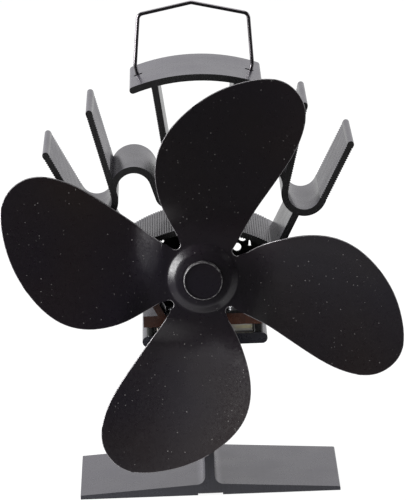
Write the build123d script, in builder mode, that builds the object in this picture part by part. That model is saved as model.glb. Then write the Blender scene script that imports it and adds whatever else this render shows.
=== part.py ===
from build123d import *
import math
import os

# Stove fan. The origin is the middle of the base's underside.
# +X is to the right seen from the front, the fan faces -Y and +Z is up.
# All lengths are in millimetres. A "front" value is a distance in front of the base's middle.

os.makedirs("parts", exist_ok=True)

# Shared fits
seat_gap = 0.3
slip_gap = 0.05
running_gap = 0.04

# Lower heat sink: wings on the stove top, upright stem, flange under the module
base_width = 110.0
base_depth = 65.0
base_height = 69.7
wing_root_width = 12.6
wing_root_thickness = 4.6
wing_edge_thickness = 1.7
wing_edge_radius = 0.6
stem_thickness = 4.0
stem_fillet = 3.8
flange_fillet = 2.4
lower_flange_width = 52.6
lower_flange_thickness = 4.5

# Bimetal safety strip in its groove
groove_width = 10.5
groove_depth = 0.8
strip_width = 10.0
strip_inset = 2.5
rivet_radius = 1.5
rivet_from_rear = 9.0
rivet_length = 3.8

# Thermoelectric module and the stack between the flanges
module_width = 40.0
hot_pad_thickness = 0.3
ceramic_thickness = 0.8
pellet_height = 1.4
pellet_side = 1.8
pellet_pitch = 3.5
pellet_rows = 10
cold_pad_thickness = 0.7
seal_width = 1.2
seal_recess = 0.3
module_stack = hot_pad_thickness + 2 * ceramic_thickness + pellet_height + cold_pad_thickness

# Clamp screws from below, with insulating sleeves in the gap
clamp_spacing = 44.8
clamp_from_end = 3.0
clamp_radius = 1.25
clamp_head_radius = 2.2
clamp_engagement = 4.0
sleeve_radius = 2.2
socket_radius = 0.8
socket_depth = 0.8

# Upper heat sink, drawn about the top of its own floor
body_depth = 49.0
floor_width = 51.0
floor_thickness = 4.8
fin_thickness = 2.8
wall_thickness = 2.9
wall_foot_x = 17.8
wall_top_angle = -114.0
channel_x = 43.6
channel_height = 50.1
channel_radius = 8.2
outer_fin_lean = 28.0
outer_fin_length = 27.1
inner_fin_lean = 14.6
inner_fin_length = 36.3
arch_x = 27.4
arch_height = 54.2
arch_radius = 8.6
arch_leg_lean = 18.0
arch_elbow_height = 48.1
arch_elbow_radius = 3.5
arch_foot_height = 47.0
roof_thickness = 2.7
roof_height = 36.05
roof_end_height = 26.14
post_foot_x = 9.2
post_top_x = 17.1
plate_height = 100.95
plate_end_height = 96.4
plate_end_x = 26.2
flank_pitch = 1.0
flank_groove = 0.5
flank_margin = 1.6
inner_flank_start = 11.5

# Motor, in the tunnel under the roof
axis_above_floor = 17.8
motor_setback = 1.0
can_radius = 12.2
can_wall = 0.9
can_length = 23.0
boss_radius = 3.6
boss_length = 1.6
bush_radius = 2.6
bush_length = 3.0
shaft_radius = 1.15
end_cap_thickness = 1.5
end_cap_rim_width = 1.0
end_cap_rim_length = 1.5
end_cap_boss_radius = 4.0
end_cap_boss_length = 2.5
shaft_into_end_boss = 1.0
magnet_thickness = 1.3
magnet_length = 14.0
magnet_spread = 140.0
magnet_setback = 3.5
air_gap = 0.5
core_length = 10.0
core_hub_radius = 3.4
pole_count = 3
pole_arm_width = 2.6
pole_shoe_depth = 1.5
pole_shoe_spread = 88.0
coil_thickness = 1.7
coil_corner = 0.8
commutator_radius = 2.4
commutator_length = 2.4
commutator_slot_width = 0.3
commutator_slot_depth = 0.4
brush_gap = 0.1
brush_width = 1.6
brush_length = 1.2
leaf_thickness = 0.25
terminal_x = 7.0
terminal_thickness = 0.5
terminal_width = 2.6
terminal_reach = 4.0

# Motor bracket: a plate across the tunnel with a collar and a foot
bracket_setback = 15.0
bracket_thickness = 1.5
foot_thickness = 1.0
foot_setback = 0.5
foot_width = 31.2
collar_wall = 1.3
collar_length = 5.0
vent_radius = 1.8
low_vent = (14.9, 25.0)
outer_vent = (17.4, 29.1)
taper_slot_x = 20.3
taper_slot_low = 25.2
taper_slot_high = 28.4
taper_slot_low_width = 1.1
taper_slot_high_width = 0.5
bracket_screw_spacing = 25.6
bracket_screw_setback = 3.4
bracket_screw_radius = 1.25
bracket_screw_head_radius = 2.7
bracket_screw_head_height = 2.3
bracket_screw_head_round = 1.0
bracket_screw_engagement = 3.6
cross_length = 2.6
cross_width = 0.6
cross_depth = 0.8
collar_screw_radius = 1.0
collar_screw_head_radius = 1.7
collar_screw_head_height = 1.2
collar_screw_slot_width = 0.5
collar_screw_slot_depth = 0.5

# Leads from the module to the motor
lead_radius = 0.65
lead_rear_run = 9.0
lead_floor_gap = 0.4
lead_behind_body = 5.0
lead_terminal_bend = 5.5
lead_floor_bend = 7.0
lead_edge_bend = 3.95

# Fan: one pressed sheet with a domed centre
fan_reach = 89.3
blade_count = 4
blade_turn = 8.4
blade_thickness = 1.0
root_thickness = 1.05
root_drop = 5.85
notch_radius = 12.3
notch_bend = 2.0
blade_slope = 0.261
blade_tip_slope = 0.076
curl_radius = 128.0
flat_line_share = 0.560
blend_start_share = 0.20
blend_end_share = 0.36
sheet_left_share = -0.36
sheet_right_share = 0.44
sheet_low_share = 0.12
sheet_high_share = 1.03
sheet_inset_share = 0.150
inset_left_share = -0.105
inset_right_share = 0.093
root_right_share = (0.149, 0.210)
root_left_share = (-0.143, 0.190)
outline_shares = (
    (0.226, 0.367),
    (0.316, 0.536),
    (0.365, 0.647),
    (0.386, 0.727),
    (0.379, 0.856),
    (0.265, 0.963),
    (0.168, 0.966),
    (0.070, 0.940),
    (-0.029, 0.895),
    (-0.125, 0.826),
    (-0.210, 0.735),
    (-0.265, 0.634),
    (-0.282, 0.529),
    (-0.262, 0.408),
)
dome_thickness = 1.1
dome_hole_radius = 3.2
dome_flat_radius = 8.6
dome_shoulder_radius = 11.3
dome_shoulder_drop = 0.5
dome_valley_radius = 14.6
dome_end_radius = 15.6
dome_flat_bend = 6.0
dome_shoulder_bend = 3.2
dome_valley_bend = 2.0

# Hub cap, hub and set screw
cap_front = 48.3
cap_radius = 8.1
cap_thickness = 2.8
cap_rim_width = 0.7
cap_rim_height = 0.35
cap_edge_round = 0.5
hub_radius = 5.5
hub_clearance = 1.7
spigot_radius = 3.0
spigot_into_cap = 1.5
shaft_into_spigot = 0.9
set_screw_radius = 1.25
set_screw_from_rear = 2.2
set_screw_length = 4.0

# Carry handle: a hand-bent wire bail, a little off centre, hooked through slots in the top plate
wire_radius = 0.8
handle_offset = -0.6
handle_lean = 1.4
handle_foot_x = 22.8
handle_foot_drop = 3.2
handle_hook_length = 3.4
handle_kink_x = 24.6
handle_kink_rise = 4.7
handle_shoulder_x = 23.05
handle_shoulder_rise = 26.2
handle_peak_x = -0.8
handle_peak_rise = 31.1
handle_foot_bend = 1.8
handle_kink_bend = 4.0
handle_shoulder_bend = 2.4
handle_peak_bend = 3.0
handle_slot_x = 23.35
handle_slot_length = 3.6
handle_slot_width = 2.8
handle_slot_corner = 0.7

# Heights and fronts that follow from the sizes above
body_front = base_depth / 2
body_rear = body_front - body_depth
body_middle = body_front - body_depth / 2
flange_underside = base_height - lower_flange_thickness
floor_underside = base_height + module_stack
floor_top = floor_underside + floor_thickness
axis_height = floor_top + axis_above_floor
hot_plate_height = base_height + hot_pad_thickness
pellet_base_height = hot_plate_height + ceramic_thickness
cold_plate_height = pellet_base_height + pellet_height
cold_pad_height = cold_plate_height + ceramic_thickness
can_front = body_front - motor_setback
can_rear = can_front - can_length
boss_front = can_front + boss_length
end_cap_rear = can_rear - end_cap_thickness
end_boss_rear = end_cap_rear - end_cap_boss_length
shaft_rear = end_boss_rear + shaft_into_end_boss
bracket_front = body_front - bracket_setback
root_middle = cap_front - root_drop - root_thickness / 2
dome_front = cap_front - cap_thickness
hub_front = dome_front - dome_thickness
hub_rear = boss_front + hub_clearance
shaft_front = hub_front + shaft_into_spigot
motor_axis = Axis((0, 0, axis_height), (0, -1, 0))


def section(front, height=0):
    """Plane across the fan: local x is to the right, local y is up, and it faces the viewer."""
    return Plane(origin=(0, -front, height), x_dir=(1, 0, 0), z_dir=(0, -1, 0))


def polar(centre, radius, angle):
    """Point at an angle in degrees on a circle."""
    turn = math.radians(angle)
    return (centre[0] + radius * math.cos(turn), centre[1] + radius * math.sin(turn))


def leaning(start, length, lean):
    """Point at the end of a run that leans outwards from upright by lean degrees."""
    turn = math.radians(lean)
    return (start[0] + length * math.sin(turn), start[1] + length * math.cos(turn))


def arc_height(x, apex, end_x, end_height):
    """Height over x of the arc through both ends and the apex over the middle."""
    drop = apex - end_height
    radius = (end_x**2 + drop**2) / (2 * drop)
    return apex - radius + math.sqrt(radius**2 - x**2)


def write(name, label):
    """Label a finished piece and write its file."""
    name.part.label = label
    export_step(name.part, f"parts/{label}.step")


# Lower heat sink: one extrusion with a groove underneath, drilled for the clamp screws
half_base = base_width / 2
half_root = wing_root_width / 2
rivet_y = base_depth / 2 - rivet_from_rear
clamp_ys = (clamp_from_end - body_front, -clamp_from_end - body_rear)
clamp_places = [(x, y) for x in (-clamp_spacing / 2, clamp_spacing / 2) for y in clamp_ys]
clamp_planes = [Plane(origin=(x, y, flange_underside), z_dir=(0, 0, -1)) for x, y in clamp_places]

with BuildPart() as base_heatsink:
    with BuildSketch(section(base_depth / 2)) as base_profile:
        with BuildLine():
            Polyline(
                (-half_base, 0),
                (half_base, 0),
                (half_base, wing_edge_thickness),
                (half_root, wing_root_thickness),
                (-half_root, wing_root_thickness),
                (-half_base, wing_edge_thickness),
                close=True,
            )
        make_face()
        edge_height = wing_edge_thickness
        wing_tips = base_profile.vertices().filter_by_position(Axis.Y, edge_height, edge_height)
        fillet(wing_tips, wing_edge_radius)
        with Locations((0, wing_root_thickness / 2)):
            stem_height = flange_underside - wing_root_thickness / 2
            Rectangle(stem_thickness, stem_height, align=(Align.CENTER, Align.MIN))
        with Locations((0, base_height - lower_flange_thickness / 2)):
            SlotOverall(lower_flange_width, lower_flange_thickness)
        beside_stem = (-stem_thickness, stem_thickness)
        stem_corners = base_profile.vertices().filter_by_position(Axis.X, *beside_stem)
        fillet(stem_corners.group_by(Axis.Y)[0], stem_fillet)
        stem_corners = base_profile.vertices().filter_by_position(Axis.X, *beside_stem)
        fillet(stem_corners.group_by(Axis.Y)[-1], flange_fillet)
        Rectangle(groove_width, 2 * groove_depth, mode=Mode.SUBTRACT)
    extrude(amount=-base_depth)
    with Locations(*clamp_planes):
        CounterSinkHole(
            clamp_radius + slip_gap,
            clamp_head_radius + slip_gap,
            depth=lower_flange_thickness,
            counter_sink_angle=90,
        )
    with BuildSketch(Plane.XY):
        with Locations((0, rivet_y)):
            Circle(rivet_radius + slip_gap)
    extrude(amount=rivet_length, mode=Mode.SUBTRACT)
write(base_heatsink, "base_heatsink")

# Bimetal strip: flush with the base's underside, riveted near its rear end
with BuildPart() as bimetal_strip:
    with BuildSketch(Plane.XY):
        Rectangle(strip_width, base_depth - 2 * strip_inset)
    extrude(amount=groove_depth)
    with Locations(Plane(origin=(0, rivet_y, 0), z_dir=(0, 0, -1))):
        CounterSinkHole(
            rivet_radius + slip_gap,
            rivet_radius + groove_depth + slip_gap,
            depth=groove_depth,
            counter_sink_angle=90,
        )
write(bimetal_strip, "bimetal_strip")

# Strip rivet: flush countersunk head and a plain shank
with BuildPart() as strip_rivet:
    with BuildSketch(Plane.XZ) as rivet_profile:
        with BuildLine():
            Polyline(
                (0, 0),
                (rivet_radius + groove_depth, 0),
                (rivet_radius, groove_depth),
                (rivet_radius, rivet_length),
                (0, rivet_length),
                close=True,
            )
        make_face()
    revolve(axis=Axis.Z)
strip_rivet.part = strip_rivet.part.translate((0, rivet_y, 0))
write(strip_rivet, "strip_rivet")

# Thermoelectric module: two pads and two plates, with pellets and a seal between the plates
module_y = -body_middle

with BuildPart() as hot_pad:
    with BuildSketch(Plane.XY.offset(base_height)):
        with Locations((0, module_y)):
            Rectangle(module_width, module_width)
    extrude(amount=hot_pad_thickness)
write(hot_pad, "hot_pad")

with BuildPart() as module_hot_plate:
    with BuildSketch(Plane.XY.offset(hot_plate_height)):
        with Locations((0, module_y)):
            Rectangle(module_width, module_width)
    extrude(amount=ceramic_thickness)
write(module_hot_plate, "module_hot_plate")

with BuildPart() as module_pellets:
    with BuildSketch(Plane.XY.offset(pellet_base_height)):
        with Locations((0, module_y)):
            with GridLocations(pellet_pitch, pellet_pitch, pellet_rows, pellet_rows):
                Rectangle(pellet_side, pellet_side)
    extrude(amount=pellet_height)
write(module_pellets, "module_pellets")

with BuildPart() as module_seal:
    with BuildSketch(Plane.XY.offset(pellet_base_height)):
        with Locations((0, module_y)):
            Rectangle(module_width - 2 * seal_recess, module_width - 2 * seal_recess)
            seal_inside = module_width - 2 * seal_recess - 2 * seal_width
            Rectangle(seal_inside, seal_inside, mode=Mode.SUBTRACT)
    extrude(amount=pellet_height)
write(module_seal, "module_seal")

with BuildPart() as module_cold_plate:
    with BuildSketch(Plane.XY.offset(cold_plate_height)):
        with Locations((0, module_y)):
            Rectangle(module_width, module_width)
    extrude(amount=ceramic_thickness)
write(module_cold_plate, "module_cold_plate")

with BuildPart() as cold_pad:
    with BuildSketch(Plane.XY.offset(cold_pad_height)):
        with Locations((0, module_y)):
            Rectangle(module_width, module_width)
    extrude(amount=cold_pad_thickness)
write(cold_pad, "cold_pad")

# Insulating sleeves: one round each clamp screw, between the two flanges
with BuildPart() as insulating_sleeves:
    with BuildSketch(Plane.XY.offset(base_height)):
        with Locations(*clamp_places):
            Circle(sleeve_radius)
            Circle(clamp_radius + slip_gap, mode=Mode.SUBTRACT)
    extrude(amount=module_stack)
write(insulating_sleeves, "insulating_sleeves")

# Clamp screws: flat heads flush with the lower flange, with six-sided sockets
with BuildPart() as clamp_screws:
    with BuildSketch(Plane.XY.offset(flange_underside)):
        with Locations(*clamp_places):
            Circle(clamp_head_radius)
    extrude(amount=clamp_head_radius - clamp_radius, taper=45)
    with BuildSketch(Plane.XY.offset(flange_underside)):
        with Locations(*clamp_places):
            Circle(clamp_radius)
    extrude(amount=lower_flange_thickness + module_stack + clamp_engagement)
    with BuildSketch(Plane.XY.offset(flange_underside)):
        with Locations(*clamp_places):
            RegularPolygon(socket_radius, 6)
    extrude(amount=socket_depth, mode=Mode.SUBTRACT)
write(clamp_screws, "clamp_screws")

# Upper heat sink: centre lines of its walls, channels, fins, arches and posts on the right
channel_centre = (channel_x, channel_height)
wall_foot = (wall_foot_x, 0)
wall_top = polar(channel_centre, channel_radius, wall_top_angle)
wall_top_inside = polar(channel_centre, channel_radius + fin_thickness / 4, wall_top_angle)
wall_lean = math.degrees(math.atan2(wall_top[0] - wall_foot_x, wall_top[1]))
wall_slope = math.tan(math.radians(wall_lean))
outer_fin_foot = polar(channel_centre, channel_radius, -outer_fin_lean)
outer_fin_tip = leaning(outer_fin_foot, outer_fin_length, outer_fin_lean)
inner_fin_foot = polar(channel_centre, channel_radius, 180 - inner_fin_lean)
inner_fin_tip = leaning(inner_fin_foot, inner_fin_length, inner_fin_lean)
roof_end_x = wall_foot_x + wall_slope * roof_end_height
roof_at_post = arc_height(post_foot_x, roof_height, roof_end_x, roof_end_height)
plate_at_post = arc_height(post_top_x, plate_height, plate_end_x, plate_end_height)
post_foot = (post_foot_x, roof_at_post + roof_thickness / 2)
post_top = (post_top_x, plate_at_post - fin_thickness / 2)
post_slope = (post_top[0] - post_foot[0]) / (post_top[1] - post_foot[1])
arch_foot = (post_foot[0] + post_slope * (arch_foot_height - post_foot[1]), arch_foot_height)
arch_end = polar((arch_x, arch_height), arch_radius, 180 - arch_leg_lean)
arch_elbow_x = arch_end[0] - (arch_end[1] - arch_elbow_height) * math.tan(math.radians(arch_leg_lean))
arch_elbow = (arch_elbow_x, arch_elbow_height)


def flank_places(foot, tip, start, side):
    """Groove places on one flank of a straight fin: side 1 is its right flank and -1 its left."""
    run = math.dist(foot, tip)
    along = ((tip[0] - foot[0]) / run, (tip[1] - foot[1]) / run)
    reach = side * fin_thickness / 2
    places = []
    for step in range(int((run - start) / flank_pitch)):
        distance = start + step * flank_pitch
        x = foot[0] + along[0] * distance + along[1] * reach
        y = foot[1] + along[1] * distance - along[0] * reach
        places.append((x, y, math.degrees(math.atan2(along[1], along[0]))))
    return places


def roof_places(first_x, last_x, side):
    """Groove places on the roof's upper face (side 1) or its underside (side -1)."""
    places = []
    for step in range(int((last_x - first_x) / flank_pitch) + 1):
        x = first_x + step * flank_pitch
        drop = roof_height - roof_end_height
        radius = (roof_end_x**2 + drop**2) / (2 * drop)
        turn = math.asin(x / radius)
        centre = (0, roof_height - radius)
        at = leaning(centre, radius + side * roof_thickness / 2, math.degrees(turn))
        places.append((at[0], at[1], -math.degrees(turn)))
    return places


post_clear = post_foot_x + fin_thickness
roof_last = roof_end_x - wall_thickness
groove_places = flank_places(outer_fin_foot, outer_fin_tip, flank_margin, 1)
groove_places += flank_places(outer_fin_foot, outer_fin_tip, flank_margin, -1)
groove_places += flank_places(inner_fin_foot, inner_fin_tip, flank_margin, 1)
groove_places += flank_places(inner_fin_foot, inner_fin_tip, inner_flank_start, -1)
groove_places += flank_places(arch_foot, post_top, fin_thickness, 1)
groove_places += roof_places(flank_pitch / 2, post_foot_x - fin_thickness, 1)
groove_places += roof_places(post_clear, roof_last, 1)
groove_places += roof_places(flank_pitch / 2, roof_last - wall_thickness, -1)
all_grooves = [Location((side * x, y), side * turn) for x, y, turn in groove_places for side in (-1, 1)]
bracket_screw_y = bracket_screw_setback - body_front
bracket_screw_places = [(side * bracket_screw_spacing / 2, bracket_screw_y) for side in (-1, 1)]
roof_arc = ((-roof_end_x, roof_end_height), (0, roof_height), (roof_end_x, roof_end_height))
plate_arc = ((-plate_end_x, plate_end_height), (0, plate_height), (plate_end_x, plate_end_height))
plate_top_height = floor_top + plate_height + fin_thickness
slot_cut_depth = plate_height - plate_end_height + 3 * fin_thickness
handle_y = -body_middle
handle_places = [(handle_offset + side * handle_slot_x, handle_y) for side in (-1, 1)]

with BuildPart() as upper_heatsink:
    with BuildSketch(section(body_front, floor_top)) as body_profile:
        with BuildLine() as wall_line:
            Line(wall_foot, wall_top_inside)
        SlotArc(wall_line.wire(), wall_thickness)
        with BuildLine() as channel_line:
            Line(inner_fin_tip, inner_fin_foot)
            ThreePointArc(inner_fin_foot, (channel_x, channel_height - channel_radius), outer_fin_foot)
            Line(outer_fin_foot, outer_fin_tip)
        SlotArc(channel_line.wire(), fin_thickness)
        with BuildLine() as arch_line:
            CenterArc((arch_x, arch_height), arch_radius, 0, 180 - arch_leg_lean)
            FilletPolyline(arch_end, arch_elbow, arch_foot, radius=arch_elbow_radius)
        SlotArc(arch_line.wire(), fin_thickness)
        with BuildLine() as post_line:
            Line(post_foot, post_top)
        SlotArc(post_line.wire(), fin_thickness)
        mirror(about=Plane.YZ)
        with Locations((0, -floor_thickness / 2)):
            Rectangle(floor_width, floor_thickness)
        with BuildLine() as roof_line:
            ThreePointArc(*roof_arc)
        SlotArc(roof_line.wire(), roof_thickness)
        with BuildLine() as plate_line:
            ThreePointArc(*plate_arc)
        SlotArc(plate_line.wire(), fin_thickness)
        with Locations(*all_grooves):
            Rectangle(flank_groove, flank_groove, rotation=45, mode=Mode.SUBTRACT)
    extrude(amount=-body_depth)
    with BuildSketch(Plane.XY.offset(floor_underside)):
        with Locations(*clamp_places):
            Circle(clamp_radius + slip_gap)
    extrude(amount=clamp_engagement, mode=Mode.SUBTRACT)
    with BuildSketch(Plane.XY.offset(floor_top)):
        with Locations(*bracket_screw_places):
            Circle(bracket_screw_radius + slip_gap)
    extrude(amount=-bracket_screw_engagement, mode=Mode.SUBTRACT)
    with BuildSketch(Plane.XY.offset(plate_top_height)):
        with Locations(*handle_places):
            RectangleRounded(handle_slot_length, handle_slot_width, handle_slot_corner)
    extrude(amount=-slot_cut_depth, mode=Mode.SUBTRACT)
write(upper_heatsink, "upper_heatsink")

# Motor bracket: a plate that fills the tunnel, a collar round the motor and a foot on the floor
wall_inset = (wall_thickness / 2 + seat_gap) / math.cos(math.radians(wall_lean))
roof_drop = roof_height - roof_end_height
roof_radius = (roof_end_x**2 + roof_drop**2) / (2 * roof_drop)
plate_foot_x = wall_foot_x - wall_inset
plate_shoulder_x = plate_foot_x + wall_slope * roof_height
collar_bore = can_radius + slip_gap
collar_radius = collar_bore + collar_wall
vent_places = [(side * x, y) for x, y in (low_vent, outer_vent) for side in (-1, 1)]

with BuildPart() as motor_bracket:
    with BuildSketch(section(bracket_front, floor_top)):
        with BuildLine():
            Polyline(
                (-plate_foot_x, 0),
                (plate_foot_x, 0),
                (plate_shoulder_x, roof_height),
                (-plate_shoulder_x, roof_height),
                close=True,
            )
        make_face()
        with Locations((0, roof_height - roof_radius)):
            Circle(roof_radius - roof_thickness / 2 - seat_gap, mode=Mode.INTERSECT)
        with Locations(*vent_places):
            Circle(vent_radius, mode=Mode.SUBTRACT)
        with BuildLine():
            Polyline(
                (taper_slot_x - taper_slot_low_width / 2, taper_slot_low),
                (taper_slot_x + taper_slot_low_width / 2, taper_slot_low),
                (taper_slot_x + taper_slot_high_width / 2, taper_slot_high),
                (taper_slot_x - taper_slot_high_width / 2, taper_slot_high),
                close=True,
            )
        right_slot = make_face(mode=Mode.PRIVATE)
        add(right_slot, mode=Mode.SUBTRACT)
        add(mirror(right_slot, about=Plane.YZ, mode=Mode.PRIVATE), mode=Mode.SUBTRACT)
    extrude(amount=-bracket_thickness)
    with BuildSketch(section(bracket_front + collar_length, axis_height)):
        Circle(collar_radius)
    extrude(amount=-collar_length)
    with BuildSketch(section(bracket_front + collar_length, axis_height)):
        Circle(collar_bore)
    extrude(amount=-collar_length - bracket_thickness, mode=Mode.SUBTRACT)
    foot_length = bracket_setback - foot_setback
    with BuildSketch(Plane.XY.offset(floor_top)):
        with Locations((0, foot_setback - body_front)):
            Rectangle(foot_width, foot_length, align=(Align.CENTER, Align.MIN))
        with Locations(*bracket_screw_places):
            Circle(bracket_screw_radius + slip_gap, mode=Mode.SUBTRACT)
    extrude(amount=foot_thickness)
    with BuildSketch(Plane.YZ.offset(-collar_radius)):
        with Locations((-bracket_front - collar_length / 2, axis_height)):
            Circle(collar_screw_radius + slip_gap)
    extrude(amount=2 * collar_radius, mode=Mode.SUBTRACT)
write(motor_bracket, "motor_bracket")

# Bracket screws: round heads on the foot, shanks in the floor
head_seat = floor_top + foot_thickness
with BuildPart() as bracket_screws:
    with BuildSketch(Plane.XY.offset(head_seat)):
        with Locations(*bracket_screw_places):
            Circle(bracket_screw_head_radius)
    extrude(amount=bracket_screw_head_height)
    fillet(bracket_screws.edges().group_by(Axis.Z)[-1], bracket_screw_head_round)
    with BuildSketch(Plane.XY.offset(head_seat)):
        with Locations(*bracket_screw_places):
            Circle(bracket_screw_radius)
    extrude(amount=-foot_thickness - bracket_screw_engagement)
    with BuildSketch(Plane.XY.offset(head_seat + bracket_screw_head_height)):
        with Locations(*bracket_screw_places):
            Rectangle(cross_length, cross_width)
            Rectangle(cross_width, cross_length)
    extrude(amount=-cross_depth, mode=Mode.SUBTRACT)
write(bracket_screws, "bracket_screws")

# Collar screws: one from each side, their tips against the motor can
collar_screw_place = (-bracket_front - collar_length / 2, axis_height)
with BuildPart() as collar_screws:
    for side in (-1, 1):
        screw_spot = (side * collar_screw_place[0], collar_screw_place[1])
        tip_plane = Plane(origin=(side * collar_bore, 0, 0), x_dir=(0, side, 0), z_dir=(side, 0, 0))
        with BuildSketch(tip_plane):
            with Locations(screw_spot):
                Circle(collar_screw_radius)
        extrude(amount=collar_wall)
        head_face = side * (collar_radius + collar_screw_head_height)
        head_plane = Plane(origin=(head_face, 0, 0), x_dir=(0, side, 0), z_dir=(side, 0, 0))
        with BuildSketch(head_plane):
            with Locations(screw_spot):
                Circle(collar_screw_head_radius)
        extrude(amount=-collar_screw_head_height)
        with BuildSketch(head_plane):
            with Locations(screw_spot):
                Rectangle(2 * collar_screw_head_radius, collar_screw_slot_width)
        extrude(amount=-collar_screw_slot_depth, mode=Mode.SUBTRACT)
write(collar_screws, "collar_screws")

# Motor can: a drawn cup with a boss for the front bush
bush_bore = bush_radius + slip_gap
can_bore = can_radius - can_wall
with BuildPart() as motor_can:
    with BuildSketch(section(can_front, axis_height)):
        Circle(can_radius)
    extrude(amount=-can_length)
    fillet(motor_can.edges().group_by(Axis.Y)[0], can_wall)
    with BuildSketch(section(boss_front, axis_height)):
        Circle(boss_radius)
    extrude(amount=-boss_length - can_wall)
    with BuildSketch(section(can_front - can_wall, axis_height)):
        Circle(can_bore)
    extrude(amount=-can_length, mode=Mode.SUBTRACT)
    with BuildSketch(section(boss_front, axis_height)):
        Circle(bush_bore)
    extrude(amount=-boss_length - can_wall, mode=Mode.SUBTRACT)
write(motor_can, "motor_can")

# Bushes: front one in the can's boss, rear one in the end cap's boss
shaft_bore = shaft_radius + running_gap
with BuildPart() as front_bush:
    with BuildSketch(section(boss_front, axis_height)):
        Circle(bush_radius)
        Circle(shaft_bore, mode=Mode.SUBTRACT)
    extrude(amount=-bush_length)
write(front_bush, "front_bush")

with BuildPart() as rear_bush:
    with BuildSketch(section(can_rear, axis_height)):
        Circle(bush_radius)
        Circle(shaft_bore, mode=Mode.SUBTRACT)
    extrude(amount=-bush_length)
write(rear_bush, "rear_bush")

# End cap: closes the can's rear, with a rim inside the can and a boss for the rear bush
rim_radius = can_bore - slip_gap
with BuildPart() as motor_end_cap:
    with BuildSketch(section(can_rear, axis_height)):
        Circle(can_radius)
    extrude(amount=-end_cap_thickness)
    with BuildSketch(section(can_rear, axis_height)):
        Circle(rim_radius)
        Circle(rim_radius - end_cap_rim_width, mode=Mode.SUBTRACT)
    extrude(amount=end_cap_rim_length)
    with BuildSketch(section(end_cap_rear, axis_height)):
        Circle(end_cap_boss_radius)
    extrude(amount=-end_cap_boss_length)
    with BuildSketch(section(can_rear, axis_height)):
        Circle(bush_bore)
    extrude(amount=-bush_length, mode=Mode.SUBTRACT)
write(motor_end_cap, "motor_end_cap")

# Magnets: two curved pieces on the can's wall, left and right
magnet_front = can_front - magnet_setback
magnet_outer = can_bore - slip_gap
magnet_inner = magnet_outer - magnet_thickness
with BuildPart() as motor_magnets:
    with BuildSketch(section(magnet_front, axis_height)):
        with BuildLine():
            outside = CenterArc((0, 0), magnet_outer, -magnet_spread / 2, magnet_spread)
            inside = CenterArc((0, 0), magnet_inner, -magnet_spread / 2, magnet_spread)
            Line(outside @ 0, inside @ 0)
            Line(outside @ 1, inside @ 1)
        make_face()
        mirror(about=Plane.YZ)
    extrude(amount=-magnet_length)
write(motor_magnets, "motor_magnets")

# Armature core: a hub and three poles with wide shoes
core_radius = magnet_inner - air_gap
core_front = magnet_front - (magnet_length - core_length) / 2
shoe_inner = core_radius - pole_shoe_depth
press_bore = shaft_radius + slip_gap
with BuildPart() as armature_core:
    with BuildSketch(section(core_front, axis_height)):
        Circle(core_hub_radius)
        for pole in range(pole_count):
            turn = 90 + pole * 360 / pole_count
            arm_middle = polar((0, 0), shoe_inner / 2, turn)
            with Locations(arm_middle):
                Rectangle(shoe_inner + pole_shoe_depth / 2, pole_arm_width, rotation=turn)
            with BuildLine():
                outside = CenterArc((0, 0), core_radius, turn - pole_shoe_spread / 2, pole_shoe_spread)
                inside = CenterArc((0, 0), shoe_inner, turn - pole_shoe_spread / 2, pole_shoe_spread)
                Line(outside @ 0, inside @ 0)
                Line(outside @ 1, inside @ 1)
            make_face()
        Circle(press_bore, mode=Mode.SUBTRACT)
    extrude(amount=-core_length)
write(armature_core, "armature_core")

# Armature windings: one coil round each pole's arm
coil_hole_width = pole_arm_width + 2 * slip_gap
coil_hole_length = core_length + 2 * slip_gap
coil_width = coil_hole_width + 2 * coil_thickness
coil_length = coil_hole_length + 2 * coil_thickness
coil_start = core_hub_radius + seat_gap
coil_end = math.sqrt(shoe_inner**2 - (coil_width / 2) ** 2) - slip_gap
core_middle_y = core_length / 2 - core_front
with BuildPart() as armature_windings:
    for pole in range(pole_count):
        turn = math.radians(90 + pole * 360 / pole_count)
        coil_x = coil_start * math.cos(turn)
        coil_z = axis_height + coil_start * math.sin(turn)
        outward = (math.cos(turn), 0, math.sin(turn))
        with BuildSketch(Plane(origin=(coil_x, core_middle_y, coil_z), x_dir=(0, 1, 0), z_dir=outward)):
            RectangleRounded(coil_length, coil_width, coil_corner)
            Rectangle(coil_hole_length, coil_hole_width, mode=Mode.SUBTRACT)
        extrude(amount=coil_end - coil_start)
write(armature_windings, "armature_windings")

# Commutator: copper ring with three shallow slots, behind the windings
commutator_front = core_front - core_length - coil_thickness - seat_gap
with BuildPart() as commutator:
    with BuildSketch(section(commutator_front, axis_height)):
        Circle(commutator_radius)
        Circle(press_bore, mode=Mode.SUBTRACT)
        for pole in range(pole_count):
            turn = 90 + (pole + 1 / 2) * 360 / pole_count
            with Locations(polar((0, 0), commutator_radius, turn)):
                Rectangle(
                    2 * commutator_slot_depth,
                    commutator_slot_width,
                    rotation=turn,
                    mode=Mode.SUBTRACT,
                )
    extrude(amount=-commutator_length)
write(commutator, "commutator")

# Brushes: two carbon blocks on leaf springs that stand on the end cap
brush_x = commutator_radius + brush_gap
leaf_x = brush_x + brush_length
brush_front = commutator_front - (commutator_length - brush_width) / 2
with BuildPart() as motor_brushes:
    with BuildSketch(section(brush_front, axis_height)):
        with Locations((brush_x, 0)):
            Rectangle(brush_length, brush_width, align=(Align.MIN, Align.CENTER))
        mirror(about=Plane.YZ)
    extrude(amount=-brush_width)
    with BuildSketch(section(brush_front, axis_height)):
        with Locations((leaf_x, 0)):
            Rectangle(leaf_thickness, brush_width, align=(Align.MIN, Align.CENTER))
        mirror(about=Plane.YZ)
    extrude(amount=-(brush_front - can_rear))
write(motor_brushes, "motor_brushes")

# Terminals: two tabs behind the end cap
with BuildPart() as motor_terminals:
    with BuildSketch(section(end_cap_rear, axis_height)):
        with Locations((-terminal_x, 0), (terminal_x, 0)):
            Rectangle(terminal_thickness, terminal_width)
    extrude(amount=-terminal_reach)
write(motor_terminals, "motor_terminals")

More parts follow.
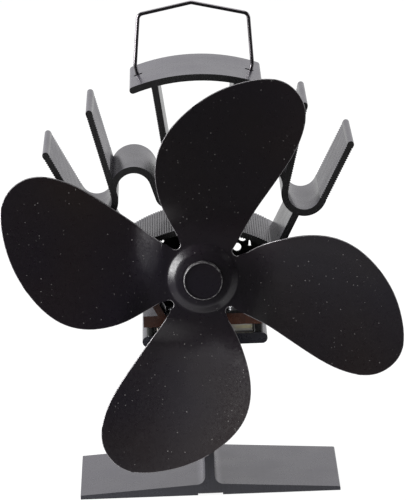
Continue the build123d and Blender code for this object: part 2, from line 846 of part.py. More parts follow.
# Leads: from the terminals back, down to the floor, over its rear edge and into the module
lead_front = end_cap_rear - terminal_reach
lead_drop_front = lead_front - lead_rear_run
lead_floor_height = floor_top + lead_floor_gap + lead_radius
lead_rear_front = body_rear - lead_behind_body
lead_module_height = pellet_base_height + pellet_height / 2
lead_module_front = body_middle - module_width / 2 + seal_recess
lead_route = (
    (-lead_front, axis_height),
    (-lead_drop_front, axis_height),
    (-lead_drop_front, lead_floor_height),
    (-lead_rear_front, lead_floor_height),
    (-lead_rear_front, lead_module_height),
    (-lead_module_front, lead_module_height),
)
lead_bends = [lead_terminal_bend, lead_floor_bend, lead_edge_bend, lead_edge_bend]

with BuildPart() as lead_red:
    with BuildLine(Plane.YZ.offset(terminal_x)) as red_route:
        FilletPolyline(*lead_route, radius=lead_bends)
    with BuildSketch(Plane(origin=red_route.line @ 0, z_dir=red_route.line % 0)):
        Circle(lead_radius)
    sweep()
write(lead_red, "lead_red")

with BuildPart() as lead_black:
    with BuildLine(Plane.YZ.offset(-terminal_x)) as black_route:
        FilletPolyline(*lead_route, radius=lead_bends)
    with BuildSketch(Plane(origin=black_route.line @ 0, z_dir=black_route.line % 0)):
        Circle(lead_radius)
    sweep()
write(lead_black, "lead_black")

for lead_name, lead, route in (("red", lead_red, red_route), ("black", lead_black, black_route)):
    route_length = route.wire().length
    tube_share = lead.part.volume / (math.pi * lead_radius**2 * route_length)
    print(lead_name, "lead: bends", lead_bends, "length", round(route_length, 2))
    print(lead_name, "lead: volume as a share of its section times its length", round(tube_share, 4))

# Motor shaft: from the end cap's boss to the hub's spigot
with BuildPart() as motor_shaft:
    with BuildSketch(section(shaft_front, axis_height)):
        Circle(shaft_radius)
    extrude(amount=-(shaft_front - shaft_rear))
write(motor_shaft, "motor_shaft")

# Fan hub: turned piece on the shaft, with a spigot through the dome and a hole for its set screw
set_screw_y = -hub_rear - set_screw_from_rear
with BuildPart() as fan_hub:
    with BuildSketch(section(hub_front, axis_height)):
        Circle(hub_radius)
    extrude(amount=-(hub_front - hub_rear))
    with BuildSketch(section(hub_front, axis_height)):
        Circle(spigot_radius)
    extrude(amount=dome_thickness + spigot_into_cap)
    with BuildSketch(section(shaft_front, axis_height)):
        Circle(press_bore)
    extrude(amount=-(shaft_front - hub_rear), mode=Mode.SUBTRACT)
    with BuildSketch(Plane.YZ):
        with Locations((set_screw_y, axis_height)):
            Circle(set_screw_radius + slip_gap)
    extrude(amount=hub_radius, mode=Mode.SUBTRACT)
write(fan_hub, "fan_hub")

# Hub set screw: from the side, its tip against the shaft
with BuildPart() as hub_set_screw:
    with BuildSketch(Plane.YZ.offset(shaft_radius + slip_gap)):
        with Locations((set_screw_y, axis_height)):
            Circle(set_screw_radius)
    extrude(amount=set_screw_length)
    with BuildSketch(Plane.YZ.offset(shaft_radius + slip_gap + set_screw_length)):
        with Locations((set_screw_y, axis_height)):
            RegularPolygon(socket_radius, 6)
    extrude(amount=-socket_depth, mode=Mode.SUBTRACT)
write(hub_set_screw, "hub_set_screw")

# Fan blades: the sheet's curved middle surface, then its outline, four times round the axis
sheet_left = sheet_left_share * fan_reach
sheet_right = sheet_right_share * fan_reach
sheet_low = sheet_low_share * fan_reach
sheet_high = sheet_high_share * fan_reach
sheet_steps = 18
surface_tolerance_share = 0.000125


def blade_front(u, v):
    """Front of the sheet's middle at u across and v along a blade."""
    across = blade_slope * u - u**2 / (2 * curl_radius)
    along = blade_tip_slope * (v - flat_line_share * fan_reach)
    progress = (v / fan_reach - blend_start_share) / (blend_end_share - blend_start_share)
    progress = max(0, min(1, progress))
    blend = progress * progress * (3 - 2 * progress)
    return root_middle - (across - along) * blend


sheet_points = []
for u_step in range(sheet_steps + 1):
    u = sheet_left + (sheet_right - sheet_left) * u_step / sheet_steps
    row = []
    for v_step in range(sheet_steps + 1):
        v = sheet_low + (sheet_high - sheet_low) * v_step / sheet_steps
        row.append(Vector(u, -blade_front(u, v), axis_height + v))
    sheet_points.append(row)
surface_tolerance = surface_tolerance_share * fan_reach
middle_surface = Face.make_surface_from_array_of_points(sheet_points, tol=surface_tolerance)


def reach_point(share):
    """Point of the blade's outline from its shares of the fan's reach."""
    return (share[0] * fan_reach, share[1] * fan_reach)


with BuildPart() as one_blade:
    thicken(middle_surface, amount=blade_thickness / 2, both=True)
    with BuildSketch(section(cap_front + fan_reach / 2, axis_height)):
        with BuildLine():
            root_right = reach_point(root_right_share)
            root_left = reach_point(root_left_share)
            Spline(root_right, *[reach_point(share) for share in outline_shares], root_left)
            Polyline(
                root_left,
                reach_point((inset_left_share, sheet_inset_share)),
                reach_point((inset_right_share, sheet_inset_share)),
                root_right,
            )
        make_face()
    extrude(amount=-fan_reach, mode=Mode.INTERSECT)

star_corners = []
for blade in range(blade_count):
    turn = math.radians(360 / blade_count * blade)
    notch = polar((0, 0), notch_radius, 90 - 180 / blade_count)
    for corner in (reach_point(root_left_share), reach_point(root_right_share), notch):
        x = corner[0] * math.cos(turn) + corner[1] * math.sin(turn)
        y = corner[1] * math.cos(turn) - corner[0] * math.sin(turn)
        star_corners.append((x, y))

dome_middle = dome_front - dome_thickness / 2
dome_points = (
    (dome_middle, dome_hole_radius + dome_thickness / 2),
    (dome_middle, dome_flat_radius),
    (dome_middle - dome_shoulder_drop, dome_shoulder_radius),
    (root_middle, dome_valley_radius),
    (root_middle, dome_end_radius),
)

with BuildPart() as fan_blades:
    with BuildSketch(section(root_middle + root_thickness / 2, axis_height)) as star:
        with BuildLine():
            Polyline(*star_corners, close=True)
        make_face()
        fillet(star.vertices().sort_by_distance((0, 0))[:blade_count], notch_bend)
        Circle(dome_valley_radius, mode=Mode.SUBTRACT)
    extrude(amount=-root_thickness)
    for blade in range(blade_count):
        add(one_blade.part.rotate(motor_axis, 360 / blade_count * blade))
    with BuildSketch(Plane(origin=(0, 0, axis_height), x_dir=(0, -1, 0), z_dir=(-1, 0, 0))):
        with BuildLine() as dome_line:
            FilletPolyline(*dome_points, radius=[dome_flat_bend, dome_shoulder_bend, dome_valley_bend])
        SlotArc(dome_line.wire(), dome_thickness)
    revolve(axis=motor_axis)
fan_blades.part = fan_blades.part.rotate(motor_axis, -blade_turn)
write(fan_blades, "fan_blades")

# Hub cap: round cap on the dome with a raised rim
with BuildPart() as hub_cap:
    with BuildSketch(section(dome_front, axis_height)):
        Circle(cap_radius)
    extrude(amount=cap_thickness)
    fillet(hub_cap.edges().group_by(Axis.Y)[0], cap_edge_round)
    with BuildSketch(section(cap_front, axis_height)):
        Circle(cap_radius - cap_rim_width)
    extrude(amount=-cap_rim_height, mode=Mode.SUBTRACT)
    with BuildSketch(section(dome_front, axis_height)):
        Circle(spigot_radius + slip_gap)
    extrude(amount=spigot_into_cap + slip_gap, mode=Mode.SUBTRACT)
write(hub_cap, "hub_cap")

# Carry handle: one bent wire, its feet turned inwards under the top plate
slot_height = floor_top + arc_height(handle_slot_x, plate_height, plate_end_x, plate_end_height)
handle_right = (
    (handle_shoulder_x, handle_shoulder_rise),
    (handle_kink_x, handle_kink_rise),
    (handle_foot_x, -handle_foot_drop),
    (handle_foot_x - handle_hook_length, -handle_foot_drop),
)
handle_left = [(-x, y) for x, y in reversed(handle_right)]
handle_corners = [*handle_left, (handle_peak_x, handle_peak_rise), *handle_right]
handle_bends = [
    handle_foot_bend,
    handle_kink_bend,
    handle_shoulder_bend,
    handle_peak_bend,
    handle_shoulder_bend,
    handle_kink_bend,
    handle_foot_bend,
]
handle_origin = (handle_offset, handle_y, slot_height)
handle_across = (math.cos(math.radians(handle_lean)), 0, -math.sin(math.radians(handle_lean)))

with BuildPart() as carry_handle:
    with BuildLine(Plane(origin=handle_origin, x_dir=handle_across, z_dir=(0, -1, 0))) as handle_line:
        FilletPolyline(*handle_corners, radius=handle_bends)
    with BuildSketch(Plane(origin=handle_line.line @ 0, z_dir=handle_line.line % 0)):
        Circle(wire_radius)
    sweep()
write(carry_handle, "carry_handle")
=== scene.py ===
import bmesh
import bpy
import math
from mathutils import Matrix, Vector


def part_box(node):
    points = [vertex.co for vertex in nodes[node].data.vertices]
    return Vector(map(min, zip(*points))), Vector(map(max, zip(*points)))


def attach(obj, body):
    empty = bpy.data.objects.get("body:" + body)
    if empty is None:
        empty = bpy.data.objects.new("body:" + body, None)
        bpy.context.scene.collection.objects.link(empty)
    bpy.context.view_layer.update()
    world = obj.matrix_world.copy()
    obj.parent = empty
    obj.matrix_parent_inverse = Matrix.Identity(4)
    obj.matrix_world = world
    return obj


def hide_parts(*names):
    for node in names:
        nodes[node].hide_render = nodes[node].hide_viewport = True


# Stove fan: finishes and fine details, on a plain pale floor in soft studio light.
# Lengths are in metres and angles in degrees.
# +X is to the right seen from the front, the fan faces -Y and +Z is up.

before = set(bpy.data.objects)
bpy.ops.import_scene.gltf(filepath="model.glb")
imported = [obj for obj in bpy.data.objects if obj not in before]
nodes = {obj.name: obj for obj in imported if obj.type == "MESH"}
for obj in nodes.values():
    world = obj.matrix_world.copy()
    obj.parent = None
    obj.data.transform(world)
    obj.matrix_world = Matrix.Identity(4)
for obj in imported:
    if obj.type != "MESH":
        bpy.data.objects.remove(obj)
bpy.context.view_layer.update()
mm = 0.001
white = (1, 1, 1, 1)

# Places that the finishes follow
body_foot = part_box("upper_heatsink")[0].z
rotor_axis = (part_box("motor_shaft")[0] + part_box("motor_shaft")[1]) / 2
cap_radius = (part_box("hub_cap")[1].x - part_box("hub_cap")[0].x) / 2

# Camera, at the photograph's viewing angle, with its sensor in millimetres
image_height = 500
focal_pixels = 4563
sensor_size = 36
camera_place = (-0.0073, -1.895, 0.518)
camera_yaw, camera_pitch, camera_roll = -0.24, -12.47, 2.08

# Floor and room. What the object mirrors of them goes from dark in front to light behind
floor_reach = 6.0
floor_colour = (0.8, 0.8, 0.8, 1)
shadow_colour = (0.14, 0.14, 0.14, 1)
floor_glow = 0.9
floor_mirrored = (0.08, 0.9)
floor_fade = (-0.17, -0.04)
room_light = 0.5
room_colour = (0.98, 0.965, 1, 1)
room_mirrored = (0.055, 0.82)
room_fade = (-0.1, 0.35)

# Lamps: place, width and height, and power
lamp_target = (0, 0, 0.12)
lamps = {
    "top_lamp": ((0.1, 0.25, 1.3), (0.9, 0.9), 8),
    "left_lamp": ((-1.27, -0.34, 0.46), (0.7, 0.9), 40),
    "front_lamp": ((-0.6, -1.1, 0.12), (0.25, 0.3), 0.4),
    "right_lamp": ((1.3, 0.2, 0.6), (0.7, 0.7), 6),
}

# Colours of the extrusions: their walls, their cut faces, and a painted warm reflection at the foot of the
# body
wall_dark = (0.024, 0.023, 0.03)
wall_light = (0.036, 0.034, 0.044)
base_cut_colour = (0.0155, 0.0155, 0.021)
body_cut_colour = (0.009, 0.0088, 0.0092)
# Painted warm reflection on the body's cut faces: its colour, height, fade across, shares and patches
warm_reflection_colour = (0.14, 0.042, 0.018)
warm_reflection_height = 30 * mm
warm_reflection_fade = (-5 * mm, 15 * mm)
warm_reflection_shares = (0.5, 1.0)
warm_reflection_patches = (0.4, 1.0)

# Texture of the extrusions, in cells for each metre along each axis
drawn_cells = (1500, 6, 1500)
drawn_share = 0.08
drawn_roughness = (0.25, 0.27)
sawn_cells = (2300, 1, 60)
sawn_gain = 2.2
sawn_depth = 0.012 * mm
grain_cells = 2400
grain_share = 0.3
patch_cells = 60
patch_roughness = (-0.03, 0.05)
cut_facing = 0.9

# Fan's coat, with the dust on it, and its rim lighter from wear and a painted highlight
coat_colour = (0.0052, 0.0036, 0.0054)
coat_cool = (0.005, 0.0034, 0.0074)
coat_warm = (0.009, 0.0052, 0.005)
coat_drift_cells = 14
coat_fine_cells = 1600
coat_coarse_cells = 700
coat_gloss_cells = 900
coat_roughness = (0.27, 0.4)
coat_depth = 0.02 * mm
dust_colour = (0.35, 0.34, 0.33)
dust_cells = 700.0
dust_size = (0.05, 0.18)
dust_rarity = 0.72
dust_cover = 0.3
# Lighter rim of the cap: bare metal worn through, with a painted highlight
rim_wear_and_highlight_colour = (0.2, 0.195, 0.195)
rim_fade = (cap_radius - 0.5 * mm, cap_radius - 0.3 * mm)
rim_cells = 600
rim_wear_and_highlight_range = (0.0, 0.9)

# Blades of the fan: the first one's turn from upright, and the turn from each to the next
blade_turn = 8.4
blade_pitch = 90

# Middle plate of the fan: its ends along a blade, half its width across, and the highest step left sharp
plate_end = (16.7 * mm, 19.1 * mm)
plate_half_width = 12.3 * mm
step_height = 0.12 * mm

# Edges of the fan's sheet, whose lighter colour is rubbed paint with a painted highlight
weld_distance = 0.001 * mm
shortest_edge = 0.01 * mm
sharp_angle = 50
edge_width = 0.25 * mm
edge_segments = 2
edge_highlight_colour = (0.24, 0.23, 0.24)
edge_depth = 0.004 * mm

# Seal round the module: its colours, where they meet, how far its lumps move that, and its texture
seal_colour = (0.84, 0.78, 0.55)
seal_grey = (0.62, 0.55, 0.53)
seal_cream = (0.86, 0.8, 0.5)
seal_fade = (10 * mm, 16 * mm)
seal_waver = 2 * mm
seal_cells = 260
seal_roughness = (0.35, 0.5)
seal_depth = 0.12 * mm

# Plain metals and dull solids: their patches, and how far their colour and roughness vary
metal_patch_cells = 120
metal_dark_gain = 0.72
metal_roughness_gains = (0.8, 1.25)
dull_patch_cells = 80
dull_grain_share = 0.6
dull_roughness_gains = (0.9, 1.1)


# Scene and node helpers
def turned(degrees, axis):
    """Rotation matrix about one axis."""
    return Matrix.Rotation(math.radians(degrees), 4, axis)


def place_object(name, data):
    """Object with its data, linked to the scene."""
    made = bpy.data.objects.new(name, data)
    bpy.context.scene.collection.objects.link(made)
    return made


def add_node(tree, kind, inputs=None, **settings):
    """A node with its settings, and its inputs as values or as sockets to link."""
    node = tree.nodes.new(kind)
    for name, value in settings.items():
        setattr(node, name, value)
    for name, value in (inputs or {}).items():
        if isinstance(value, bpy.types.NodeSocket):
            tree.links.new(value, node.inputs[name])
        else:
            node.inputs[name].default_value = value
    return node


def coordinate(tree, axis, kind="Object"):
    """One axis of the object's own coordinates, or of another kind of them."""
    place = add_node(tree, "ShaderNodeTexCoord")
    axes = add_node(tree, "ShaderNodeSeparateXYZ", {0: place.outputs[kind]})
    return axes.outputs[axis]


def spread(tree, value, low, high, from_low=0.3, from_high=0.7, **settings):
    """A value moved from its own range to another. Noise lies mostly between 0.3 and 0.7."""
    inputs = {"Value": value, "From Min": from_low, "From Max": from_high, "To Min": low, "To Max": high}
    return add_node(tree, "ShaderNodeMapRange", inputs, **settings).outputs[0]


def calculate(tree, operation, first, second=0.0):
    """One sum on two values or sockets."""
    return add_node(tree, "ShaderNodeMath", {0: first, 1: second}, operation=operation).outputs[0]


def product(tree, first, *others):
    """Values or sockets multiplied together."""
    for other in others:
        first = calculate(tree, "MULTIPLY", first, other)
    return first


def blended(tree, share, first, second):
    """Two colours, or colour sockets, mixed by a share of the second."""
    mix = add_node(tree, "ShaderNodeMix", {0: share}, data_type="RGBA")
    first_colour, second_colour, mixed_colour = mix.inputs[6], mix.inputs[7], mix.outputs[2]
    for socket, value in ((first_colour, first), (second_colour, second)):
        if isinstance(value, bpy.types.NodeSocket):
            tree.links.new(value, socket)
        else:
            socket.default_value = (*value, 1)
    return mixed_colour


def mixed(tree, share, first, second):
    """Two shaders mixed by a share of the second."""
    return add_node(tree, "ShaderNodeMixShader", {0: share, 1: first.outputs[0], 2: second.outputs[0]})


# Camera, floor, room and lamps
def make_camera():
    """Camera that frames the fan as the photograph does."""
    data = bpy.data.cameras.new("camera")
    data.sensor_width = sensor_size
    data.lens = focal_pixels / image_height * sensor_size
    data.dof.use_dof = False
    camera = place_object("camera", data)
    aim = turned(camera_yaw, "Z") @ turned(camera_pitch, "X") @ turned(camera_roll, "Y") @ turned(90, "X")
    camera.matrix_world = Matrix.Translation(camera_place) @ aim
    bpy.context.scene.camera = camera


def floor_finish():
    """Pale and matt. To the camera it is white but for shadows, and in mirrors it darkens in front."""
    made = bpy.data.materials.new("pale_floor")
    made.use_nodes = True
    tree = made.node_tree
    tree.nodes.clear()
    path = add_node(tree, "ShaderNodeLightPath")
    fading = spread(tree, coordinate(tree, "Y"), *floor_mirrored, *floor_fade)
    matt = add_node(tree, "ShaderNodeBsdfDiffuse", {"Color": floor_colour})
    mirrored = add_node(tree, "ShaderNodeEmission", {"Color": white, "Strength": fading})
    glow = add_node(tree, "ShaderNodeEmission", {"Color": white, "Strength": floor_glow})
    shaded = add_node(tree, "ShaderNodeBsdfDiffuse", {"Color": shadow_colour})
    pale = add_node(tree, "ShaderNodeAddShader", {0: glow.outputs[0], 1: shaded.outputs[0]})
    lit = mixed(tree, path.outputs["Is Glossy Ray"], matt, mirrored)
    seen = mixed(tree, path.outputs["Is Camera Ray"], lit, pale)
    add_node(tree, "ShaderNodeOutputMaterial", {"Surface": seen.outputs[0]})
    return made


def make_floor():
    """Large pale floor that keeps the object's shadow and meets the white background."""
    form = bmesh.new()
    bmesh.ops.create_grid(form, x_segments=1, y_segments=1, size=floor_reach)
    mesh = bpy.data.meshes.new("floor")
    form.to_mesh(mesh)
    form.free()
    mesh.materials.append(floor_finish())
    place_object("floor", mesh)


def make_world():
    """Even soft light, a white background, and reflections of a light room with a dark front."""
    world = bpy.data.worlds.new("studio")
    world.use_nodes = True
    world.cycles.sampling_method = "NONE"
    bpy.context.scene.world = world
    tree = world.node_tree
    tree.nodes.clear()
    path = add_node(tree, "ShaderNodeLightPath")
    backward = coordinate(tree, "Y", "Generated")
    fading = spread(tree, backward, *room_mirrored, *room_fade, interpolation_type="SMOOTHSTEP")
    soft = add_node(tree, "ShaderNodeBackground", {"Color": white, "Strength": room_light})
    mirrored = add_node(tree, "ShaderNodeBackground", {"Color": room_colour, "Strength": fading})
    plain = add_node(tree, "ShaderNodeBackground", {"Color": white, "Strength": 1.0})
    shine = calculate(tree, "MAXIMUM", path.outputs["Is Glossy Ray"], path.outputs["Is Transmission Ray"])
    lit = mixed(tree, shine, soft, mirrored)
    seen = mixed(tree, path.outputs["Is Camera Ray"], lit, plain)
    add_node(tree, "ShaderNodeOutputWorld", {"Surface": seen.outputs[0]})


def make_lamps():
    """Soft lamps above the object, in front of it and at both its sides, all aimed at its middle."""
    for name, (place, size, power) in lamps.items():
        data = bpy.data.lights.new(name, "AREA")
        data.shape = "RECTANGLE"
        data.size, data.size_y = size
        data.energy = power
        lamp = place_object(name, data)
        lamp.location = place
        lamp.rotation_euler = (Vector(lamp_target) - Vector(place)).to_track_quat("-Z", "Y").to_euler()


# Parts of a finish
def new_material(name, colour, roughness, metallic=0.0, **sockets):
    """Material, with its shader, whose plain values are on the shader's own sockets."""
    made = bpy.data.materials.new(name)
    made.use_nodes = True
    shader = made.node_tree.nodes["Principled BSDF"]
    shader.inputs["Base Color"].default_value = (*colour, 1)
    shader.inputs["Roughness"].default_value = roughness
    shader.inputs["Metallic"].default_value = metallic
    for socket, value in sockets.items():
        shader.inputs[socket.replace("_", " ")].default_value = value
    return made, shader


def even(cells):
    """The same number of cells along all three axes."""
    return (cells, cells, cells)


def toned(values, gain):
    """A colour, or a range, with each of its values multiplied by the same gain."""
    return tuple(gain * value for value in values)


def stretched(tree, cells):
    """Object coordinates in cells for each metre along each axis."""
    place = add_node(tree, "ShaderNodeTexCoord")
    mapping = add_node(tree, "ShaderNodeMapping", {"Vector": place.outputs["Object"], "Scale": cells})
    return mapping.outputs["Vector"]


def noise(tree, cells, detail=3.0):
    """Noise on object coordinates, in cells for each metre along each axis."""
    inputs = {"Vector": stretched(tree, cells), "Scale": 1.0, "Detail": detail, "Roughness": 0.55}
    return add_node(tree, "ShaderNodeTexNoise", inputs).outputs["Fac"]


def relief(tree, shader, height, depth):
    """Bump from a height, with its depth in metres."""
    bump = add_node(tree, "ShaderNodeBump", {"Height": height, "Distance": depth})
    tree.links.new(bump.outputs[0], shader.inputs["Normal"])


def cut_face_share(tree):
    """1 on faces square to the extrusion, which a saw has cut, and 0 on its drawn walls."""
    shape = add_node(tree, "ShaderNodeNewGeometry")
    axes = add_node(tree, "ShaderNodeSeparateXYZ", {0: shape.outputs["True Normal"]})
    facing = calculate(tree, "ABSOLUTE", axes.outputs["Y"])
    return calculate(tree, "GREATER_THAN", facing, cut_facing)


def warm_reflection_share(tree, patches):
    """Patchy share of the painted warm reflection on the body: highest at its foot and on its right, and
    fading upwards.
    """
    low = spread(tree, coordinate(tree, "Z"), 1.0, 0.0, body_foot, body_foot + warm_reflection_height)
    right = spread(tree, coordinate(tree, "X"), *warm_reflection_shares, *warm_reflection_fade)
    return product(tree, low, right, spread(tree, patches, *warm_reflection_patches))


def dust_share(tree):
    """Thinly scattered specks of several sizes."""
    inputs = {"Vector": stretched(tree, even(1)), "Scale": dust_cells}
    specks = add_node(tree, "ShaderNodeTexVoronoi", inputs)
    chosen = add_node(tree, "ShaderNodeSeparateColor", {0: specks.outputs["Color"]})
    size = spread(tree, chosen.outputs[1], *dust_size, 0.0, 1.0)
    near = calculate(tree, "LESS_THAN", specks.outputs["Distance"], size)
    rare = calculate(tree, "GREATER_THAN", chosen.outputs[0], dust_rarity)
    return product(tree, near, rare, dust_cover)


# Finishes
def heatsink_coat(name, cut_colour, warm_reflection_tint=None):
    """Satin dark coat: drawn lines on an extrusion's walls, saw lines and perhaps a painted warm reflection
    on its ends.
    """
    made, shader = new_material(name, cut_colour, roughness=0.3, Specular_IOR_Level=0.45)
    tree = made.node_tree
    cut = cut_face_share(tree)
    drawn = noise(tree, drawn_cells, 4)
    sawn = noise(tree, sawn_cells, 4)
    patches = noise(tree, even(patch_cells), 4)
    grain = noise(tree, even(grain_cells), 2)
    # The cut faces' colour takes in the painted warm reflection here
    under = blended(tree, warm_reflection_share(tree, patches), cut_colour, warm_reflection_tint) if warm_reflection_tint else cut_colour
    lightened = blended(tree, spread(tree, sawn, 0.0, 0.5), under, toned(cut_colour, sawn_gain))
    walls = blended(tree, spread(tree, patches, 0.0, 1.0), wall_dark, wall_light)
    tree.links.new(blended(tree, cut, walls, lightened), shader.inputs["Base Color"])
    grit = calculate(tree, "ADD", sawn, product(tree, grain, grain_share))
    relief(tree, shader, blended(tree, cut, product(tree, drawn, drawn_share), grit), sawn_depth)
    patchy = spread(tree, patches, *patch_roughness)
    gloss = calculate(tree, "ADD", patchy, spread(tree, drawn, *drawn_roughness))
    tree.links.new(gloss, shader.inputs["Roughness"])
    return made


def fan_coat(name):
    """Satin black coat with a fine texture, faint colour drift and a few specks of dust."""
    made, shader = new_material(name, coat_colour, roughness=0.33, Specular_IOR_Level=0.5)
    tree = made.node_tree
    drift = spread(tree, noise(tree, even(coat_drift_cells), 2), 0.0, 1.0)
    dusty = blended(tree, dust_share(tree), blended(tree, drift, coat_cool, coat_warm), dust_colour)
    tree.links.new(dusty, shader.inputs["Base Color"])
    fine = noise(tree, even(coat_fine_cells), 2)
    relief(tree, shader, calculate(tree, "ADD", fine, noise(tree, even(coat_coarse_cells))), coat_depth)
    gloss = spread(tree, noise(tree, even(coat_gloss_cells)), *coat_roughness)
    tree.links.new(gloss, shader.inputs["Roughness"])
    return made


def cap_coat(name):
    """The fan's coat with its rim lighter: worn to bare metal, and with a painted highlight."""
    made = fan_coat(name)
    tree = made.node_tree
    colour = tree.nodes["Principled BSDF"].inputs["Base Color"]
    up = calculate(tree, "SUBTRACT", coordinate(tree, "Z"), rotor_axis.z)
    across_square = calculate(tree, "POWER", coordinate(tree, "X"), 2.0)
    up_square = calculate(tree, "POWER", up, 2.0)
    radius = calculate(tree, "SQRT", calculate(tree, "ADD", across_square, up_square))
    rim = spread(tree, radius, 0.0, 1.0, *rim_fade)
    # A thin lighter ring at the rim: wear, with a painted highlight
    rubbed_and_highlit = product(tree, rim, spread(tree, noise(tree, even(rim_cells), 2), *rim_wear_and_highlight_range))
    tree.links.new(blended(tree, rubbed_and_highlit, colour.links[0].from_socket, rim_wear_and_highlight_colour), colour)
    return made


def bright_metal(name, colour, roughness, cells, depth=0.01 * mm):
    """Plain or plated metal: fine lines along the axis that has the fewest cells, or an even grain."""
    made, shader = new_material(name, colour, roughness, metallic=1.0)
    tree = made.node_tree
    lines = noise(tree, cells, 4)
    patches = noise(tree, even(metal_patch_cells))
    tone = calculate(tree, "ADD", spread(tree, lines, 0.0, 0.5), spread(tree, patches, 0.0, 0.5))
    tree.links.new(blended(tree, tone, toned(colour, metal_dark_gain), colour), shader.inputs["Base Color"])
    gloss = spread(tree, lines, *toned(metal_roughness_gains, roughness))
    tree.links.new(gloss, shader.inputs["Roughness"])
    relief(tree, shader, lines, depth)
    return made


def dull_solid(name, colour, roughness, cells, contrast=0.25, depth=0.02 * mm, **sockets):
    """Plastic, ceramic, rubber or sintered stuff, or a rubbed edge with a painted highlight: a grain in
    colour, roughness and relief.
    """
    made, shader = new_material(name, colour, roughness, **sockets)
    tree = made.node_tree
    grain = noise(tree, even(cells), 4)
    patches = spread(tree, noise(tree, even(dull_patch_cells)), 0.0, 1 - dull_grain_share)
    tone = calculate(tree, "ADD", spread(tree, grain, 0.0, dull_grain_share), patches)
    tree.links.new(blended(tree, tone, toned(colour, 1 - contrast), colour), shader.inputs["Base Color"])
    gloss = spread(tree, grain, *toned(dull_roughness_gains, roughness))
    tree.links.new(gloss, shader.inputs["Roughness"])
    relief(tree, shader, grain, depth)
    return made


def seal_coat(name):
    """Silicone, cream on the right and greyer on the left, with soft lumps."""
    made, shader = new_material(name, seal_colour, roughness=0.4, Subsurface_Weight=0.05)
    tree = made.node_tree
    lumps = noise(tree, even(seal_cells))
    across = calculate(tree, "ADD", coordinate(tree, "X"), spread(tree, lumps, -seal_waver, seal_waver))
    share = spread(tree, across, 0.0, 1.0, *seal_fade)
    tree.links.new(blended(tree, share, seal_grey, seal_cream), shader.inputs["Base Color"])
    tree.links.new(spread(tree, lumps, *seal_roughness), shader.inputs["Roughness"])
    relief(tree, shader, lumps, seal_depth)
    return made


# Pieces
def finish_nodes(made, *names):
    """Gives nodes their finish in every material slot."""
    for name in names:
        for place in nodes[name].material_slots:
            place.material = made


def dress_heatsinks():
    """The two extrusions."""
    finish_nodes(heatsink_coat("base_coat", base_cut_colour), "base_heatsink")
    # The body's cut faces get a painted warm reflection at their foot
    finish_nodes(heatsink_coat("body_coat", body_cut_colour, warm_reflection_colour), "upper_heatsink")


def on_plate_step(edge):
    """Whether an edge of the fan's sheet is on a step where the middle plate runs into a blade."""
    middle = (edge.verts[0].co + edge.verts[1].co) / 2
    up = middle.z - rotor_axis.z
    radius = math.hypot(middle.x, up)
    angle = math.degrees(math.atan2(middle.x, up)) - blade_turn
    off_blade = math.radians((angle + blade_pitch / 2) % blade_pitch - blade_pitch / 2)
    along = radius * math.cos(off_blade)
    across = radius * math.sin(off_blade)
    if plate_end[0] < along < plate_end[1] and abs(across) < plate_half_width:
        return True
    return min(face.calc_area() for face in edge.link_faces) <= step_height * edge.calc_length()


def is_eased(edge):
    """Whether an edge is sharp enough to be rounded off, and on no step."""
    if not edge.is_manifold or on_plate_step(edge):
        return False
    return edge.calc_face_angle() > math.radians(sharp_angle)


def make_fan_sheet(coat, edge_highlight_coat):
    """Copy of the fan's sheet whose sharp edges are rounded off and have their own finish, lighter for
    rubbed paint and a painted highlight.
    """
    form = bmesh.new()
    form.from_mesh(nodes["fan_blades"].data)
    bmesh.ops.remove_doubles(form, verts=form.verts, dist=weld_distance)
    bmesh.ops.dissolve_degenerate(form, edges=form.edges, dist=shortest_edge)
    rounded = bmesh.ops.bevel(
        form,
        geom=[edge for edge in form.edges if is_eased(edge)],
        affect="EDGES",
        offset=edge_width,
        segments=edge_segments,
        profile=0.5,
        material=-1,
        clamp_overlap=False,
    )
    for face in form.faces:
        face.smooth = True
        face.material_index = 0
    for face in rounded["faces"]:
        face.material_index = 1
    mesh = bpy.data.meshes.new("fan_sheet")
    form.to_mesh(mesh)
    form.free()
    mesh.materials.append(coat)
    mesh.materials.append(edge_highlight_coat)
    piece = place_object("fan_sheet", mesh)
    shading = piece.modifiers.new("even_shading", "WEIGHTED_NORMAL")
    shading.keep_sharp = True
    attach(piece, "rotor")
    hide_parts("fan_blades")


def dress_fan():
    """The blades with their pressed edges eased, rubbed and lighter with a painted highlight, and the cap
    on their dome.
    """
    # The eased edges' lighter colour is rubbed paint and a painted highlight
    lightened = dull_solid("rubbed_edge_highlight", edge_highlight_colour, 0.35, 700, contrast=0.4, depth=edge_depth, Metallic=0.5)
    make_fan_sheet(fan_coat("blade_coat"), lightened)
    finish_nodes(cap_coat("cap_coat"), "hub_cap")


def dress_handle():
    """Black polished wire."""
    wire = bright_metal("handle_wire", (0.17, 0.16, 0.17), 0.2, (900, 900, 60), depth=0.004 * mm)
    finish_nodes(wire, "carry_handle")


def dress_module():
    """The thermoelectric stack with its pads, seal, sleeves and screws."""
    finish_nodes(dull_solid("grey_pad", (0.42, 0.42, 0.43), 0.6, 1500), "hot_pad")
    finish_nodes(dull_solid("dark_pad", (0.06, 0.058, 0.06), 0.6, 1500), "cold_pad")
    ceramic = dull_solid("ceramic", (0.8, 0.77, 0.68), 0.55, 1800, contrast=0.12, depth=0.01 * mm)
    finish_nodes(ceramic, "module_hot_plate", "module_cold_plate")
    finish_nodes(seal_coat("seal"), "module_seal")
    semiconductor = dull_solid("semiconductor", (0.2, 0.2, 0.22), 0.4, 1600, contrast=0.4, Metallic=0.6)
    finish_nodes(semiconductor, "module_pellets")
    plastic = dull_solid("sleeve_plastic", (0.016, 0.016, 0.016), 0.2, 900, contrast=0.3, depth=0.004 * mm)
    finish_nodes(plastic, "insulating_sleeves")
    finish_nodes(bright_metal("screw_steel", (0.5, 0.5, 0.52), 0.3, (1200, 1200, 200)), "clamp_screws")


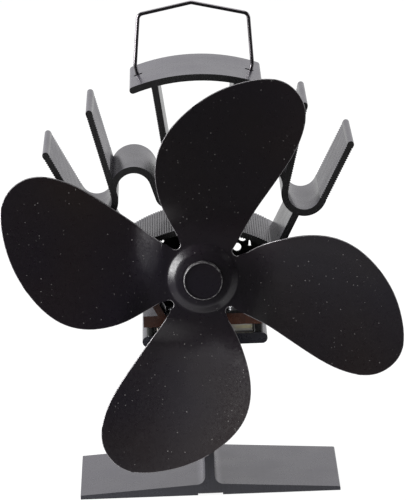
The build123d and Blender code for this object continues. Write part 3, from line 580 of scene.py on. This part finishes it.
def dress_base_strip():
    """The bimetal strip and its rivet, under the base."""
    finish_nodes(bright_metal("strip_metal", (0.55, 0.53, 0.5), 0.35, (1500, 30, 1500)), "bimetal_strip")
    finish_nodes(bright_metal("rivet_steel", (0.5, 0.5, 0.52), 0.3, even(900)), "strip_rivet")


def dress_bracket():
    """The bracket across the tunnel and its screws."""
    plate = dull_solid("black_plate", (0.018, 0.018, 0.019), 0.42, 1300, contrast=0.35, depth=0.012 * mm)
    finish_nodes(plate, "motor_bracket")
    screw = bright_metal("black_screw", (0.45, 0.45, 0.47), 0.34, even(900), depth=0.004 * mm)
    finish_nodes(screw, "bracket_screws", "collar_screws")


def dress_motor():
    """The motor's case, bushes, terminals and magnets."""
    finish_nodes(bright_metal("motor_steel", (0.45, 0.45, 0.47), 0.3, (900, 40, 900)), "motor_can")
    plastic = dull_solid("end_cap_plastic", (0.04, 0.04, 0.04), 0.45, 1200, contrast=0.3, depth=0.01 * mm)
    finish_nodes(plastic, "motor_end_cap")
    bronze = bright_metal("bronze", (0.6, 0.42, 0.2), 0.42, even(2200), depth=0.02 * mm)
    finish_nodes(bronze, "front_bush", "rear_bush")
    brass = bright_metal("terminal_brass", (0.62, 0.45, 0.2), 0.3, (1500, 60, 1500))
    finish_nodes(brass, "motor_terminals")
    finish_nodes(dull_solid("magnet", (0.09, 0.09, 0.095), 0.55, 1800, contrast=0.3), "motor_magnets")


def dress_armature():
    """The armature and its brushes, and the shaft with the fan's hub."""
    core = bright_metal("core_steel", (0.35, 0.35, 0.36), 0.4, (60, 2900, 60), depth=0.05 * mm)
    finish_nodes(core, "armature_core")
    copper = bright_metal("copper", (0.72, 0.36, 0.2), 0.3, (600, 2600, 600), depth=0.05 * mm)
    finish_nodes(copper, "armature_windings", "commutator")
    finish_nodes(dull_solid("carbon", (0.05, 0.05, 0.05), 0.5, 1500, contrast=0.3), "motor_brushes")
    shaft = bright_metal("shaft_steel", (0.62, 0.62, 0.64), 0.18, (400, 2500, 400), depth=0.002 * mm)
    finish_nodes(shaft, "motor_shaft")
    finish_nodes(bright_metal("hub_alloy", (0.6, 0.6, 0.62), 0.28, (400, 3000, 400)), "fan_hub")
    finish_nodes(bright_metal("set_screw_steel", (0.12, 0.12, 0.125), 0.35, even(900)), "hub_set_screw")


def dress_leads():
    """The module's two leads."""
    red = dull_solid("red_lead", (0.45, 0.03, 0.02), 0.42, 900, contrast=0.2, depth=0.01 * mm)
    finish_nodes(red, "lead_red")
    black = dull_solid("black_lead", (0.02, 0.02, 0.02), 0.42, 900, contrast=0.2, depth=0.01 * mm)
    finish_nodes(black, "lead_black")


make_camera()
make_floor()
make_world()
make_lamps()
dress_heatsinks()
dress_fan()
dress_handle()
dress_module()
dress_base_strip()
dress_bracket()
dress_motor()
dress_armature()
dress_leads()

bpy.context.scene.view_settings.view_transform = "Standard"
